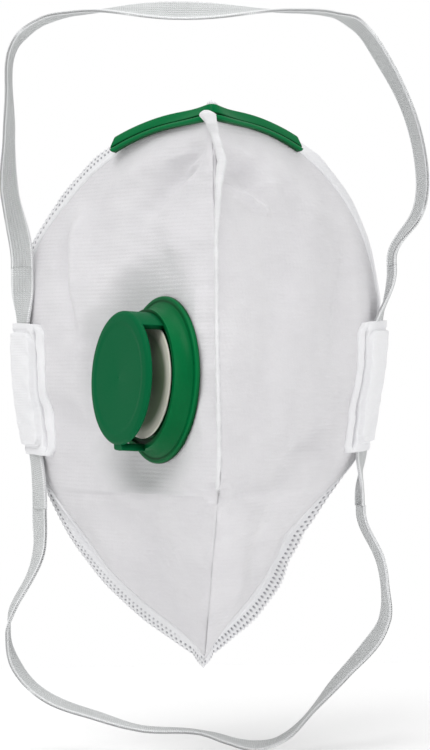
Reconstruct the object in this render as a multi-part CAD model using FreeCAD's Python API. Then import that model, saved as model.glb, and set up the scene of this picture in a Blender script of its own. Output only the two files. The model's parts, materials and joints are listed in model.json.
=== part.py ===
import FreeCAD, Part
import math
import os
from FreeCAD import Placement, Rotation, Vector

# Disposable dust mask: vertical flat-fold half mask with an exhalation valve.
# Millimetres, +Z up, -Y away from the wearer, +X to the viewer's right.
# The origin is the centre of the opening that lies on the face.
# Each half is a fan of fabric from the front tip: an upper panel above the side crease and a
# chin panel below it. All four panels turn about straight lines that meet at the tip.

# ---- driving dimensions -------------------------------------------------------------------
TIP = Vector(0, -80, -27)
NOSE = Vector(0, -56, 72.5)
CHIN = Vector(0, -40, -72)
CREASE_END = Vector(42, -6, -27)
EDGE_POINTS = [NOSE, Vector(26, -22, 63), Vector(43.5, -1.5, 42.5), Vector(48.5, 1, 8),
               CREASE_END, Vector(28.5, -21, -50), CHIN]

LINER = (0.0, 0.4)            # depth range of each fabric layer, from the face side outwards
FILTER = (0.5, 1.5)
COVER = (1.6, 2.1)
HEM = (0.5, 1.5)
HEM_START = 0.955             # share of the way from the tip to the edge
TIP_HOLE = 0.04
LAYER_END = 0.953
MITRE_GAP = 0.15              # half gap between the halves at the seam
CHIN_GAP = 1.1                # half gap of the open pivot line under the chin
CREASE_GAP = 0.3
CREASE_BEVEL = 0.24           # how fast the crease gap opens with depth

CLIP_SPAN = 0.19             # edge parameter where the nose clip ends
FOAM_START = 0.08
FOAM_THICK = 1.4
TUNNEL_SPAN = (0.465, 0.64)
TUNNEL_U = 0.925              # centre line of the tunnel, share of the way to the edge
TUNNEL_SIZE = (12.0, 3.6)
TUNNEL_SLOT = (8.0, 2.4)
BAND_SIZE = (6.0, 0.9)

VALVE_T = 0.32               # edge parameter and share of the way out at the valve centre
VALVE_U = 0.36
VALVE_LIFT = 0.2
HOLE_RADIUS = 17.4
FLANGE_RADIUS = 21.6
COLLAR_RADIUS = 18.0
COLLAR_HEIGHT = 5.4
SPIGOT = (15.4, 16.9)
SPIGOT_DEPTH = 5.0
COVER_RADIUS = 17.2
COVER_FRONT = 10.4
COVER_THICK = 1.5
DIAPHRAGM_RADIUS = 15.8
DIAPHRAGM_THICK = 0.6
PIN_RADIUS = 1.5

UPPER_PIVOT = Vector(50.5, -8.0, 31.0)    # where the headbands start to swing
LOWER_PIVOT = Vector(46, -13, -33)
PIVOT_GAP = Vector(0, 0, 0.5)
PIVOT_STEM = 3                # straight run of band beside each pivot, in pivot gaps

X_AXIS = Vector(1, 0, 0)
Z_AXIS = Vector(0, 0, 1)
ORIGIN = Vector(0, 0, 0)

edge = Part.BSplineCurve()
edge.interpolate(EDGE_POINTS)
T_CREASE = edge.parameter(CREASE_END) / edge.LastParameter


# ---- the conical panels ---------------------------------------------------------------------
def edge_point(t):
    """Point of the face edge of the right half, t = 0 at the nose and 1 at the chin."""
    return edge.value(t * edge.LastParameter)


def along(t):
    return Vector(*edge.tangent(t * edge.LastParameter)[0]).normalize()


def outward(t):
    """Outward normal of the fabric along the ray from the tip to edge_point(t)."""
    normal = (edge_point(t) - TIP).cross(along(t)).normalize()
    return normal if normal.y < 0 else -normal


def across(t):
    """Direction in the fabric, square to the ray, towards growing t."""
    ray = (edge_point(t) - TIP).normalize()
    side = outward(t).cross(ray)
    return side if side.dot(along(t)) > 0 else -side


def fabric(t, share, depth):
    return TIP + (edge_point(t) - TIP) * share + outward(t) * depth


def mitred(t, share, depth, gap):
    """Point slid along the fabric until it stands at the given distance from the middle plane."""
    point = fabric(t, share, depth)
    side = across(t)
    return point + side * ((gap - point.x) / side.x)


def panel_point(t, share, depth):
    """Fabric point with the edges of the four panels trimmed so that they can fold."""
    if t <= 0:
        return mitred(0, share, depth, MITRE_GAP)
    if t >= 1:
        return mitred(1, share, depth, CHIN_GAP)
    return fabric(t, share, depth)


def trimmed_at_crease(t, share, depth, sign):
    return fabric(t, share, depth) + across(t) * sign * (CREASE_GAP + CREASE_BEVEL * depth)


def steps(start, end, count):
    return [start + (end - start) * i / count for i in range(count + 1)]


def loft(sections):
    """Closed solid through polygons that all have the same number of corners."""
    wires = [Part.makePolygon(points + [points[0]]) for points in sections]
    solid = Part.makeLoft(wires, True, False)
    if solid.Volume < 0:
        solid.reverse()
    return solid


def sheet(t_range, shares, depths, count=10):
    """Layer of fabric over a range of the edge, shares of the ray and depths."""
    sections = []
    corners = [(shares[0], depths[0]), (shares[1], depths[0]),
               (shares[1], depths[1]), (shares[0], depths[1])]
    for t in steps(t_range[0], t_range[1], count):
        if abs(t - T_CREASE) < 1e-9:
            sign = -1 if t_range[0] < T_CREASE else 1
            sections.append([trimmed_at_crease(t, s, d, sign) for s, d in corners])
        else:
            sections.append([panel_point(t, s, d) for s, d in corners])
    return loft(sections)


def strip(t_range, profile, count=8):
    """Solid along the edge with a polygon profile of (share, depth) corners."""
    return loft([[panel_point(t, s, d) for s, d in profile]
                 for t in steps(t_range[0], t_range[1], count)])


def mirrored(shape):
    return shape.mirror(ORIGIN, X_AXIS)


# ---- ribbons ----------------------------------------------------------------------------------
def blended(knots, directions, t):
    """Direction between the two neighbours of t in the list of knots."""
    for i in range(len(knots) - 1):
        if t <= knots[i + 1] or i == len(knots) - 2:
            share = (t - knots[i]) / (knots[i + 1] - knots[i])
            ease = share * share * (3 - 2 * share)
            return directions[i] * (1 - ease) + directions[i + 1] * ease


def ribbon(points, widths, count):
    """Flat band along a spline; widths are the directions of its width at the same points."""
    path = Part.BSplineCurve()
    path.interpolate(points)
    knots = [path.parameter(p) for p in points]
    sections = []
    for t in steps(path.FirstParameter, path.LastParameter, count):
        forward = Vector(*path.tangent(t)[0]).normalize()
        wide = blended(knots, widths, t)
        wide = (wide - forward * wide.dot(forward)).normalize()
        thick = forward.cross(wide)
        sections.append([path.value(t) + wide * (BAND_SIZE[0] / 2 * a) + thick * (BAND_SIZE[1] / 2 * b)
                         for a, b in ((-1, -1), (1, -1), (1, 1), (-1, 1))])
    return loft(sections)


def tunnel_frame(t):
    """Centre, radial and outward directions of the headband tunnel."""
    depth = COVER[1] + 0.1 + TUNNEL_SIZE[1] / 2
    radial = (edge_point(t) - TIP).normalize()
    return fabric(t, TUNNEL_U, depth), radial, outward(t)


def tunnel_tube(size, margin):
    sections = []
    t_range = (TUNNEL_SPAN[0] - margin, TUNNEL_SPAN[1] + margin)
    for t in steps(t_range[0], t_range[1], 8):
        centre, radial, normal = tunnel_frame(t)
        corners = ((-1, -0.5), (-0.8, -1), (0.8, -1), (1, -0.5), (1, 0.5), (0.8, 1), (-0.8, 1), (-1, 0.5))
        sections.append([centre + radial * (size[0] / 2 * a) + normal * (size[1] / 2 * b)
                         for a, b in corners])
    return loft(sections)


def headband_tunnel():
    return tunnel_tube(TUNNEL_SIZE, 0).cut(tunnel_tube(TUNNEL_SLOT, 0.02))


def tunnel_weld():
    """Raised weld line on the panel beside the tunnel."""
    share = TUNNEL_U - (TUNNEL_SIZE[0] / 2 + 1.2) / 94
    profile = [(share - 0.009, COVER[1] + 0.1), (share + 0.009, COVER[1] + 0.1),
               (share + 0.006, COVER[1] + 0.9), (share - 0.006, COVER[1] + 0.9)]
    return strip(TUNNEL_SPAN, profile)


def band_run():
    """Elastic inside the tunnel, with the short ends that leave it."""
    points = []
    widths = []
    for t in steps(TUNNEL_SPAN[0], TUNNEL_SPAN[1], 4):
        centre, radial, normal = tunnel_frame(t)
        points.append(centre)
        widths.append(radial)
    top = [UPPER_PIVOT - PIVOT_GAP, UPPER_PIVOT - PIVOT_GAP * PIVOT_STEM]
    bottom = [LOWER_PIVOT + PIVOT_GAP * PIVOT_STEM, LOWER_PIVOT + PIVOT_GAP]
    return ribbon(top + points + bottom, [X_AXIS] * 2 + widths + [X_AXIS] * 2, 24)


def left_of(point):
    return Vector(-point.x, point.y, point.z)


def upper_headband():
    end = UPPER_PIVOT + PIVOT_GAP
    stem = UPPER_PIVOT + PIVOT_GAP * PIVOT_STEM
    points = [left_of(end), left_of(stem), Vector(-52.5, -14, 50), Vector(-50.5, -20, 72), Vector(-46.5, -26, 89),
              Vector(-34, -29, 95), Vector(-5, -32, 96), Vector(24, -31, 95), Vector(40, -28, 89),
              Vector(50, -20, 71), Vector(57, -15, 54), Vector(54.5, -11, 40), stem, end]
    widths = [X_AXIS, Vector(0.8, 0.6, 0), Vector(0.2, 1, 0), Vector(0.3, 1, -0.2),
              Vector(0, 1, 0.4), Vector(0, 0.6, 0.8), Vector(0, 1, 0.5), Vector(0, 1, 0.2),
              Vector(0.6, 0.8, 0), Vector(0.7, 0.7, 0), Vector(0.9, 0.4, 0), X_AXIS]
    return ribbon(points, [X_AXIS] + widths + [X_AXIS], 48)


def lower_headband():
    end = LOWER_PIVOT - PIVOT_GAP
    stem = LOWER_PIVOT - PIVOT_GAP * PIVOT_STEM
    points = [left_of(end), left_of(stem), Vector(-48, -16, -50), Vector(-53, -17, -63), Vector(-48, -18, -77),
              Vector(-32, -19, -88), Vector(-8, -20, -92), Vector(12, -20, -96),
              Vector(26, -19, -88), Vector(42, -18, -72), Vector(46.5, -17, -58),
              Vector(46.5, -15, -44), stem, end]
    widths = [X_AXIS, Vector(0.7, 0.7, 0), Vector(0.1, 1, 0), Vector(0, 1, 0.1),
              Vector(0, 1, 0.3), Vector(0, 1, 0), Vector(0, 1, 0), Vector(0.5, 0.8, 0.4),
              Vector(0.7, 0.6, 0.4), Vector(0.6, 0.8, 0), Vector(0.8, 0.6, 0), X_AXIS]
    return ribbon(points, [X_AXIS] + widths + [X_AXIS], 48)


# ---- nose parts ----------------------------------------------------------------------------------
def nose_clip():
    """Plastic strip with a bead along its lower edge and a groove at the back for the wire."""
    base = COVER[1] + 0.1
    profile = [(0.943, base), (0.953, base), (0.953, base + 0.6), (0.977, base + 0.6), (0.977, base),
               (0.988, base), (0.988, base + 1.0), (0.958, base + 1.0), (0.954, base + 1.6),
               (0.947, base + 1.6), (0.943, base + 1.0)]
    return strip((0, CLIP_SPAN), profile)


def nose_wire():
    base = COVER[1] + 0.1
    return strip((0, CLIP_SPAN - 0.01), [(0.955, base + 0.05), (0.975, base + 0.05),
                                         (0.975, base + 0.5), (0.955, base + 0.5)])


def nose_foam():
    """Soft strip on the face side; it starts clear of the seam so that the halves can close."""
    return sheet((FOAM_START, CLIP_SPAN), (0.86, 0.945), (-FOAM_THICK - 0.1, -0.1), 6)


def seam_fin():
    """Pressed fabric ridge that stands out of the centre seam."""
    sections = []
    run = (NOSE - TIP).normalize()
    front = X_AXIS.cross(run).normalize()
    front = front if front.y < 0 else -front
    for share in (0.05, 0.3, 0.6, 0.93):
        centre = TIP + (NOSE - TIP) * share
        root = (mitred(0, share, COVER[1], MITRE_GAP) - centre).dot(front) + 0.1
        sections.append([centre + X_AXIS * x + front * (root + f)
                         for x, f in ((-0.6, 0), (0.6, 0), (0.6, 1.9), (0.3, 2.4), (-0.3, 2.4), (-0.6, 1.9))])
    return loft(sections)


# ---- exhalation valve, built along +Z and then set on the left panel ---------------------------------
def ring(inner, outer, low, high):
    return (Part.makeCylinder(outer, high - low, Vector(0, 0, low))
            .cut(Part.makeCylinder(inner, high - low, Vector(0, 0, low))))


def sector(shape, start, end):
    """Part of a shape between two angles about +Z, measured from +X."""
    reach = 60
    angles = steps(start, end, 4)
    points = [ORIGIN] + [Vector(reach * math.cos(math.radians(a)), reach * math.sin(math.radians(a)), 0)
                         for a in angles] + [ORIGIN]
    wedge = Part.Face(Part.makePolygon(points)).extrude(Vector(0, 0, reach))
    return shape.common(wedge.translated(Vector(0, 0, -reach / 2)))


def valve_base():
    """Flange, cove and seat collar in one turned shape, with a spoked seat and a centre pin."""
    lip = FLANGE_RADIUS - 1.3
    lip_top = Vector(lip, 0, 1.2)
    collar_top = Vector(COLLAR_RADIUS, 0, COLLAR_HEIGHT)
    cove = Part.Arc(lip_top, Vector(COLLAR_RADIUS + 0.75, 0, 2.3), collar_top).toShape()
    corners = [collar_top, Vector(SPIGOT[1] - 0.2, 0, COLLAR_HEIGHT), Vector(SPIGOT[1] - 0.2, 0, 4.6),
               Vector(SPIGOT[0], 0, 4.6), Vector(SPIGOT[0], 0, -SPIGOT_DEPTH),
               Vector(SPIGOT[1], 0, -SPIGOT_DEPTH), Vector(SPIGOT[1], 0, 0),
               Vector(FLANGE_RADIUS - 0.3, 0, 0), Vector(FLANGE_RADIUS, 0, 0.3),
               Vector(FLANGE_RADIUS, 0, 0.9), Vector(FLANGE_RADIUS - 0.3, 0, 1.2), lip_top]
    outline = Part.Wire([cove, Part.makePolygon(corners)])
    body = Part.Face(outline).revolve(ORIGIN, Z_AXIS, 360)
    seat = ring(13.6, 14.4, 2.6, 4.9)
    hub = Part.makeCylinder(3.0, 2.3, Vector(0, 0, 2.6))
    pin = Part.makeCylinder(PIN_RADIUS, 4.0, Vector(0, 0, 4.0))
    base = body.fuse([seat, hub, pin])
    for angle in (0, 60, 120):
        spoke = Part.makeBox(2 * SPIGOT[0] + 0.6, 1.4, 1.6, Vector(-SPIGOT[0] - 0.3, -0.7, 2.6))
        base = base.fuse(spoke.rotated(ORIGIN, Z_AXIS, angle))
    return base.removeSplitter()


def valve_diaphragm():
    low = 5.0
    return ring(PIN_RADIUS + 0.1, DIAPHRAGM_RADIUS, low, low + DIAPHRAGM_THICK)


def valve_cover():
    """Cap on a wide wall at the top and a narrow post at the bottom, open at both sides."""
    under = COVER_FRONT - COVER_THICK
    disc = Part.makeCylinder(COVER_RADIUS, COVER_THICK, Vector(0, 0, under))
    disc = disc.makeFillet(0.6, [e for e in disc.Edges if abs(e.BoundBox.ZMin - COVER_FRONT) < 0.01])
    step = Part.makeCylinder(13.2, 0.3, Vector(0, 0, COVER_FRONT - 0.05))
    wall = sector(ring(COVER_RADIUS - 1.4, COVER_RADIUS, COLLAR_HEIGHT + 0.1, under + 0.3), 49, 133)
    boss = ring(PIN_RADIUS + 0.3, 3.0, 7.0, under + 0.1)
    post = sector(ring(COVER_RADIUS - 0.4, COVER_RADIUS + 1.3, COLLAR_HEIGHT + 0.1, under + 1.0), 265, 275)
    return disc.fuse([step, wall, boss, post]).removeSplitter()


def backing_ring():
    return ring(SPIGOT[1] + 0.1, SPIGOT[1] + 2.8, -SPIGOT_DEPTH, -SPIGOT_DEPTH + 1.2)


def valve_frame():
    """Placement of the valve on the left panel: axis along the normal, local +Y upwards."""
    normal = outward(VALVE_T)
    axis = Vector(-normal.x, normal.y, normal.z)
    centre = fabric(VALVE_T, VALVE_U, COVER[1])
    foot = Vector(-centre.x, centre.y, centre.z) + axis * VALVE_LIFT
    side = Z_AXIS.cross(axis).normalize()
    up = axis.cross(side)
    return Placement(foot, Rotation(side, up, axis, "ZXY"))


def on_left_panel(shape):
    placed = shape.copy()
    placed.Placement = valve_frame()
    return placed


def valve_hole():
    return on_left_panel(Part.makeCylinder(HOLE_RADIUS, 40, Vector(0, 0, -20)))


# ---- all pieces ------------------------------------------------------------------------------------
def fabric_pieces():
    pieces = {}
    layers = {"inner_liner": LINER, "filter_web": FILTER, "outer_cover": COVER}
    spans = {"panel": (0, T_CREASE), "chin_panel": (T_CREASE, 1)}
    for span_name, span in spans.items():
        for layer_name, depths in layers.items():
            right = sheet(span, (TIP_HOLE, LAYER_END), depths)
            left = mirrored(right)
            if span_name == "panel":
                left = left.cut(valve_hole())
            pieces["right_%s_%s" % (span_name, layer_name)] = right
            pieces["left_%s_%s" % (span_name, layer_name)] = left
        hem = sheet(span, (HEM_START, 1.0), HEM)
        pieces["right_%s_edge_band" % span_name] = hem
        pieces["left_%s_edge_band" % span_name] = mirrored(hem)
    return pieces


def side_pieces():
    makers = {"nose_clip": nose_clip, "nose_wire": nose_wire, "nose_foam": nose_foam,
              "headband_tunnel": headband_tunnel, "tunnel_weld": tunnel_weld, "band_run": band_run}
    pieces = {}
    for name, make in makers.items():
        right = make()
        pieces["right_" + name] = right
        pieces["left_" + name] = mirrored(right)
    return pieces


def centre_pieces():
    return {"centre_seam_fin": seam_fin(), "upper_headband": upper_headband(),
            "lower_headband": lower_headband(),
            "valve_base": on_left_panel(valve_base()), "valve_cover": on_left_panel(valve_cover()),
            "valve_diaphragm": on_left_panel(valve_diaphragm()),
            "valve_backing_ring": on_left_panel(backing_ring())}


os.makedirs("parts", exist_ok=True)
for group in (fabric_pieces(), side_pieces(), centre_pieces()):
    for name, shape in group.items():
        shape.exportStep("parts/" + name + ".step")
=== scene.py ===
import json
import math

import bmesh
import bpy
import numpy as np
from mathutils import Matrix, Vector


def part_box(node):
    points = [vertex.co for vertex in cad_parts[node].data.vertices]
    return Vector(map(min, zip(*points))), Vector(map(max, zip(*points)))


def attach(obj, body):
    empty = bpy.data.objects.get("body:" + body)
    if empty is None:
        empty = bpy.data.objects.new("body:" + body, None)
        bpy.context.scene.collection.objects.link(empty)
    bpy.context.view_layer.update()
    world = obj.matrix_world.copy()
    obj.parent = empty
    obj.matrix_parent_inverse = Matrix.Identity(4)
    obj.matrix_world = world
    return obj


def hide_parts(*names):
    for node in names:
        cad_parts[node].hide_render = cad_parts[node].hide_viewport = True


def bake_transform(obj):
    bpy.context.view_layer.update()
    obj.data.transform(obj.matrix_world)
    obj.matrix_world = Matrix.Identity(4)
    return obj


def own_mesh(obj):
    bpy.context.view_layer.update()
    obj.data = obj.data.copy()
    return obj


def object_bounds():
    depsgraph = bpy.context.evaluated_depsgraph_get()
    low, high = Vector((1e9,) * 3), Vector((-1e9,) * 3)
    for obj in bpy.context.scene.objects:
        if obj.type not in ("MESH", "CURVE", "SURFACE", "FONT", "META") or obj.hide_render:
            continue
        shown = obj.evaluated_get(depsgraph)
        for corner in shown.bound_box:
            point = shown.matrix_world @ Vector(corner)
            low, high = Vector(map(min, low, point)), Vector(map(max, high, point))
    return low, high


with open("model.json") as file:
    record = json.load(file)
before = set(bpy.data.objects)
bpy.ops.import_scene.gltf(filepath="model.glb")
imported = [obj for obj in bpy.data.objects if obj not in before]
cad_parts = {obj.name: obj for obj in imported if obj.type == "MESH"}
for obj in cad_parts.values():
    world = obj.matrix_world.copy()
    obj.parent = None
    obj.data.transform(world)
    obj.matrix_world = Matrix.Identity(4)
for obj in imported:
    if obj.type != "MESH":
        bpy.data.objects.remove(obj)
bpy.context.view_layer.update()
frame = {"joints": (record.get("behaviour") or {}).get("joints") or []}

# Disposable dust mask. Geometry is worked out in millimetres and written in metres.
# Each half is a fan of fabric that runs from the front tip to the face edge: t goes along the
# face edge (0 nose, 1 chin), share goes from the tip (0) to the edge (1), depth is the distance
# outwards from the face side of the fabric.

MM = 0.001
JOINTS = {joint["name"]: joint for joint in frame["joints"]}


def unit(v):
    v = np.asarray(v, float)
    return v / np.linalg.norm(v, axis=-1, keepdims=True)


# ---- driving dimensions --------------------
TIP = np.array(JOINTS["centre_fold"]["pos_m"]) / MM
SEAM = unit(JOINTS["centre_fold"]["axis"])
NOSE_Z = 72.5
EDGE_POINTS = [(0, -56, NOSE_Z), (26, -22, 63), (43.5, -1.5, 42.5), (48.5, 1, 8),
               (42, -6, -27), (28.5, -21, -50), (0, -40, -72)]
LINER = (0.0, 0.4)            # depths of the inner and outer face of each layer
FILTER = (0.5, 1.5)
COVER = (1.6, 2.1)
LENGTH_OF_EDGE = 232.0
CHIN_T = 0.64                 # along the face edge: where the chin part begins
CREASE_T = 0.676              # and where the crease at the side of the chin meets the edge
CLIP_T = 0.19                 # end of the nose clip
FOAM_T = (0.075, 0.19)
TUNNEL_T = (0.465, 0.64)
TUNNEL_SHARE = 0.925
BAND_WIDTH = 6.0
BAND_THICK = 0.9
UPPER_ENDS = (-48.2, 50.5)    # where the loops begin, along the axes they swing about
LOWER_ENDS = (-44.1, 40.8)
LIFT_AXIS = unit(JOINTS["diaphragm_lift"]["axis"])
RING_HEIGHT = -4.4            # middle of the backing ring below the flange plane
FLANGE_RADIUS = 20.8          # of the flat seat that the flange lies on
HOLE_RADIUS = 16.6            # of the hole in the fabric
VALVE_LEAN = math.radians(10.5)      # the soft fabric lets the valve lean to the side
VALVE_NOD = math.radians(4.0)        # and downwards
VALVE_SHIFT = (3.7, 0.8, -2.0)       # millimetres towards the seam, up and out of the fabric
VALVE_SIZE = 0.965                   # of the valve against its nominal size


def node_centre(name):
    low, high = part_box(name)
    return np.array((low + high) / 2) / MM


def valve_frame():
    """Foot, side, up and axis of the valve."""
    side = unit(np.cross((0, 0, 1), LIFT_AXIS))
    up = np.cross(LIFT_AXIS, side)
    foot = node_centre("valve_backing_ring") - LIFT_AXIS * RING_HEIGHT
    foot = foot + VALVE_SHIFT[0] * side + VALVE_SHIFT[1] * up + VALVE_SHIFT[2] * LIFT_AXIS
    axis = unit(LIFT_AXIS - math.tan(VALVE_LEAN) * side - math.tan(VALVE_NOD) * up)
    side = unit(np.cross((0, 0, 1), axis))
    return foot, side, np.cross(axis, side), axis


VALVE_FOOT, VALVE_SIDE, VALVE_UP, VALVE_AXIS = valve_frame()


def smooth(x):
    x = np.clip(x, 0, 1)
    return x * x * (3 - 2 * x)


# ---- curves --------------------
def length_along(points):
    """Length of a polyline from its start to each of its points."""
    return np.r_[0, np.cumsum(np.linalg.norm(np.diff(points, axis=0), axis=1))]


def superellipse(angle, power):
    """Cosine and sine of a closed curve between a circle (power 2) and a square."""
    c, s = np.cos(angle), np.sin(angle)
    return np.sign(c) * np.abs(c) ** (2 / power), np.sign(s) * np.abs(s) ** (2 / power)


def softened(profile, radius, steps=5):
    """Rounds the corners of a closed flat profile."""
    p = np.array(profile, float)
    out = []
    for before, here, after in zip(np.roll(p, 1, axis=0), p, np.roll(p, -1, axis=0)):
        a, b = before - here, after - here
        cut = min(radius, 0.45 * np.linalg.norm(a), 0.45 * np.linalg.norm(b))
        start, end = here + unit(a) * cut, here + unit(b) * cut
        for k in np.linspace(0, 1, steps):
            out.append((1 - k) ** 2 * start + 2 * k * (1 - k) * here + k ** 2 * end)
    return np.array(out)


def spline(points):
    """Natural cubic spline through the points; returns a function of 0..1 in chord length."""
    p = np.array(points, float)
    knots = length_along(p)
    knots = knots / knots[-1]
    h = np.diff(knots)
    count = len(p)
    system = np.eye(count)
    right = np.zeros_like(p)
    for i in range(1, count - 1):
        system[i, i - 1:i + 2] = h[i - 1], 2 * (h[i - 1] + h[i]), h[i]
        right[i] = 6 * ((p[i + 1] - p[i]) / h[i] - (p[i] - p[i - 1]) / h[i - 1])
    bend = np.linalg.solve(system, right)

    def at(t):
        t = np.asarray(t, float)
        i = np.clip(np.searchsorted(knots, t, side="right") - 1, 0, count - 2)
        a = (knots[i + 1] - t)[..., None]
        b = (t - knots[i])[..., None]
        step = h[i][..., None]
        return ((bend[i] * a ** 3 + bend[i + 1] * b ** 3) / (6 * step)
                + (p[i] / step - bend[i] * step / 6) * a
                + (p[i + 1] / step - bend[i + 1] * step / 6) * b)
    return at


edge_point = spline(EDGE_POINTS)


def edge_frame(t):
    """Ray from the tip, outward normal and direction of growing t for the right half."""
    small = 1e-4
    ray = edge_point(t) - TIP
    tangent = edge_point(t + small) - edge_point(t - small)
    normal = unit(np.cross(ray, tangent))
    normal = -normal * np.sign(normal[..., 1:2])
    side = unit(np.cross(normal, ray))
    side = side * np.sign(np.sum(side * tangent, axis=-1, keepdims=True))
    return ray, normal, side


def hem_start(left, t):
    """Share where the pressed edge begins; the edge is broader under the chin."""
    chin = smooth((t - CHIN_T) / 0.14) * (1 - 0.45 * smooth((t - 0.93) / 0.07))
    return 0.955 - (0.060 if left else 0.022) * chin


def chin_edge_flare(t, share, ray):
    """Turns the pressed edge of the right chin from running back to spreading sideways."""
    beyond = np.maximum(share - hem_start(False, t), 0) * smooth((t - CHIN_T) / 0.1)
    beyond = beyond * (1 - smooth((t - 0.86) / 0.14))
    return (0.5 * ray[..., 1] * beyond)[..., None] * (unit(ray * (1, 0, 1)) - (0, 1, 0))


# How far the edge is drawn in towards the middle, in mm, at heights in mm.
LEFT_DRAWN_IN = [(-75, 3.6), (-62, 2.5), (-47, 2.3), (-38, 1.6), (-30, 0.8), (-22, 0), (30, 0),
                 (38, 0.6), (48, 2.9), (60, 3.6), (68, 5.0)]
RIGHT_DRAWN_IN = [(-75, 3.0), (-68, 3.6), (-62, 6.7), (-57, 8.7), (-52, 10.8), (-47, 13.1), (-40, 13.9),
                  (-31, 9.9), (-25, 7), (-18, 4), (-5, 3.7), (6, 2.5), (22, 1), (60, 1.5), (68, 4)]
HALF_WIDTH = [(z, x) for x, y, z in EDGE_POINTS[::-1]]
CHIN_SHIFT = ((-73, -30, -22), (2.4, 0.8, 0))     # of the middle to one side, at heights
NOSE_DROP = 2.6                # how far the soft bend lies below a sharp one


def drape(left, points):
    """Soft set of the mask: edges drawn in, chin pulled to one side, nose bend rounded."""
    x, y, z = np.moveaxis(points, -1, 0)
    heights, amounts = np.array(LEFT_DRAWN_IN if left else RIGHT_DRAWN_IN).T
    half = np.maximum(np.interp(z, *np.array(HALF_WIDTH).T), 6)
    share = np.clip(np.abs(x) / half, 0, 0.92) ** 1.4
    x = x - np.sign(x) * share * np.interp(z, heights, amounts)
    x = x - np.interp(z, *CHIN_SHIFT)
    z = z - NOSE_DROP * np.exp(-(x / 10) ** 2) * smooth((z - 48) / 20)
    return np.stack([x, y, z], axis=-1)


# ---- relief of the fabric --------------------
# Soft folds as (x, z) of both ends in front view on the right half, half width and strength.
RIGHT_FOLDS = [((4, 60), (15, 45), 2.4, 0.9), ((5, 56), (8, 48), 4.4, -1.0),
               ((2.5, 48.5), (11, 43), 1.3, 0.9), ((12, 58), (30, 33), 5.0, 0.9),
               ((34, -8), (12, -24), 4.0, -1.0), ((20, 40), (24, 8), 6.0, 0.7),
               ((30, -22), (22, -56), 4.0, 1.0), ((18, -24), (15, -52), 3.5, -0.9),
               ((8, -36), (7, -60), 3.0, 0.7), ((37, 36), (31, 4), 4.0, -1.1),
               ((13, 26), (11, -14), 4.0, -0.5)]
LEFT_FOLDS = [((1, 62), (13, 44), 2.6, -1.3), ((9, 62), (24, 50), 4.0, 0.9),
              ((2, 57), (7, 53), 0.8, 0.35), ((3, 54), (8, 50), 0.8, -0.35),
              ((4, 59), (9, 56), 0.8, 0.3), ((32, 44), (29, 14), 2.4, 1.3),
              ((36, 42), (33, 14), 2.6, -1.2), ((38, -6), (12, -25), 4.0, -1.0),
              ((22, -28), (10, -42), 5.0, -0.8), ((8, 42), (5, 26), 4.0, 0.6),
              ((27, -32), (16, -52), 4.0, 0.9), ((14, -34), (7, -58), 3.5, -0.7)]
FOLD_HEIGHT = 2.8              # height of a fold of strength 1, in mm
BELLY = 2.2                    # how far each panel swells between its edges


def distance_to_line(x, z, start, end):
    """Distance to a segment and the place along it, 0..1."""
    a = np.array(start, float)
    d = np.array(end, float) - a
    along = np.clip(((x - a[0]) * d[0] + (z - a[1]) * d[1]) / (d @ d), 0, 1)
    return np.hypot(x - a[0] - along * d[0], z - a[1] - along * d[1]), along


def relief(left, t, share, x, z):
    """Height of the soft folds, the belly of each panel and the gathers round the tip."""
    above = t < CREASE_T
    panel = np.where(above, t / CREASE_T, (1 - t) / (1 - CREASE_T))
    belly = np.sin(math.pi * np.clip(share, 0, 1)) * np.sin(math.pi / 2 * np.clip(panel, 0, 1)) ** 0.8
    height = BELLY * belly * np.where(above, 1.0, 0.8)
    inside = smooth(share / 0.15) * smooth((0.95 - share) / 0.12)
    for start, end, width, size in (LEFT_FOLDS if left else RIGHT_FOLDS):
        away, along = distance_to_line(x, z, start, end)
        taper = 0.35 + 0.65 * np.sin(math.pi * along)
        height = height + FOLD_HEIGHT * inside * size * np.exp(-(away / width) ** 2) * taper
    crease = np.exp(-((t - CREASE_T) / 0.035) ** 2) * smooth(share / 0.2) * smooth((0.95 - share) / 0.3)
    height = height + 0.9 * crease
    height = height - 1.5 * smooth((t - CHIN_T) / 0.1) * np.exp(-((share - hem_start(left, t)) / 0.05) ** 2)
    gather = np.exp(-((share - 0.10) / 0.06) ** 2) * np.exp(-((t - 0.72) / 0.25) ** 2)
    height = height + 0.16 * gather * np.cos(t * 34 + (1.0 if left else 0.0))
    ripple = np.sin(x * 0.31 + z * 0.12 + (2 if left else 0)) * np.sin(z * 0.23 - x * 0.11)
    crumple = np.sin(x * 0.62 + z * 0.27 + (1 if left else 0)) * np.sin(z * 0.51 - x * 0.36)
    crumple = crumple + 0.6 * np.sin(x * 1.07 - z * 0.58) * np.sin(z * 0.83 + x * 0.41 + 2)
    return height + inside * (0.4 * ripple + 0.13 * crumple)


def about_valve(points):
    """Height above the flange plane and distance from the valve's axis."""
    q = points - VALVE_FOOT
    high = q @ VALVE_AXIS
    return high, np.linalg.norm(q - high[..., None] * VALVE_AXIS, axis=-1)


def valve_seat(points, depth):
    """Flattens the left half under the valve flange."""
    high, away = about_valve(points)
    target = depth - COVER[1] - 0.12
    pull = 1 - smooth((away - FLANGE_RADIUS - 0.3) / 13.0)
    pull = pull * smooth((-points[..., 0] - 0.4) / 3.6)
    return points + ((target - high) * pull)[..., None] * VALVE_AXIS


def soften_ridge(points, depth):
    """Rounds the ridges where the halves meet, tightly at the seam and widely under the chin."""
    x, z = points[..., 0], points[..., 2]
    chin = smooth((-30 - z) / 14)
    radius = 0.9 + 2.6 * chin
    back = (np.hypot(x, radius) - np.abs(x)) * (1.4 - 0.86 * chin) * np.exp(-np.abs(x) / (3.0 + 5 * chin))
    return points + back[..., None] * np.array((0, 0.95, 0)) * (depth / COVER[1])


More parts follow.
